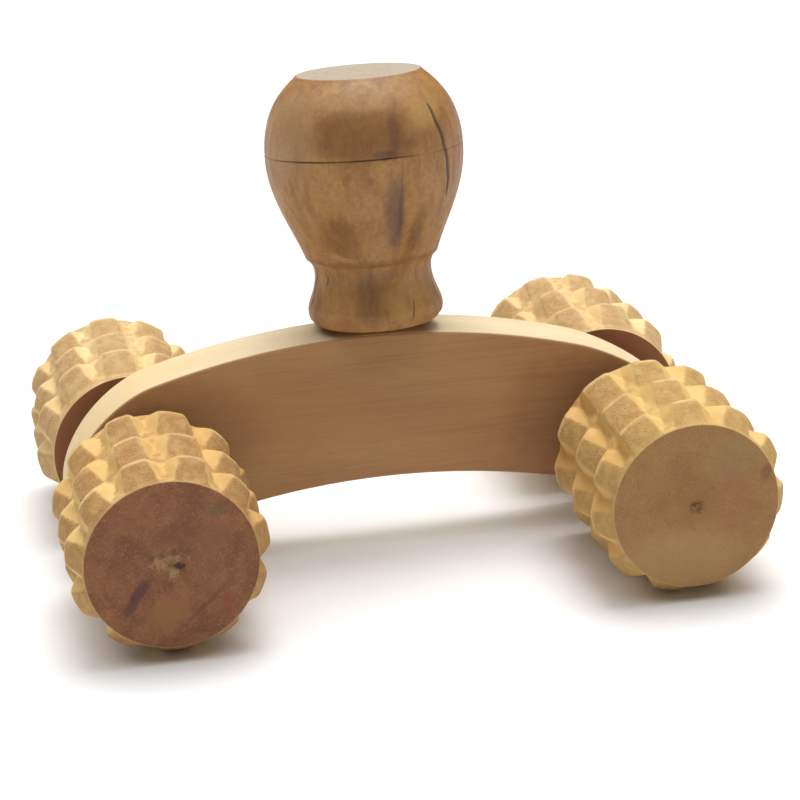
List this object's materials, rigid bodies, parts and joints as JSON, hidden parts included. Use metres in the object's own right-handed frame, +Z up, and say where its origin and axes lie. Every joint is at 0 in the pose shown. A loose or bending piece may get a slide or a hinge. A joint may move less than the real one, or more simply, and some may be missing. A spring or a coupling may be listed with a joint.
{
  "type": "massage roller",
  "caption": "Wooden hand-held massage roller: an arched beam carried on studded rollers that turn on cross axles, with a turned knob on top to hold and push it by.",
  "frame": {"origin": "on the floor, under the middle of the beam", "axes": "+X along the beam, +Y along the axles towards the rear rollers, +Z up through the knob"},
  "size_m": [0.1434, 0.1118, 0.1001],
  "materials": {
    "roller_wood": "raw turned hardwood, fuzzy on the cut slopes",
    "beam_wood": "planed and sanded, unfinished",
    "knob_wood": "turned and lightly polished, with dark heartwood streaks",
    "dowel_wood": "raw dowel rod"
  },
  "bodies": {
    "frame": {"beam": "beam_wood", "handle_knob": "knob_wood", "handle_dowel": "dowel_wood"},
    "wheelset_left": {"axle_left": "dowel_wood", "roller_front_left": "roller_wood", "roller_rear_left": "roller_wood"},
    "wheelset_right": {"axle_right": "dowel_wood", "roller_front_right": "roller_wood", "roller_rear_right": "roller_wood"}
  },
  "joints": [
    {"name": "left_axle_spin", "type": "hinge", "parent": "frame", "child": "wheelset_left", "pos_m": [-0.0515, 0, 0.01999], "axis": [0, 1, 0], "continuous": true},
    {"name": "right_axle_spin", "type": "hinge", "parent": "frame", "child": "wheelset_right", "pos_m": [0.0515, 0, 0.01999], "axis": [0, 1, 0], "continuous": true}
  ]
}
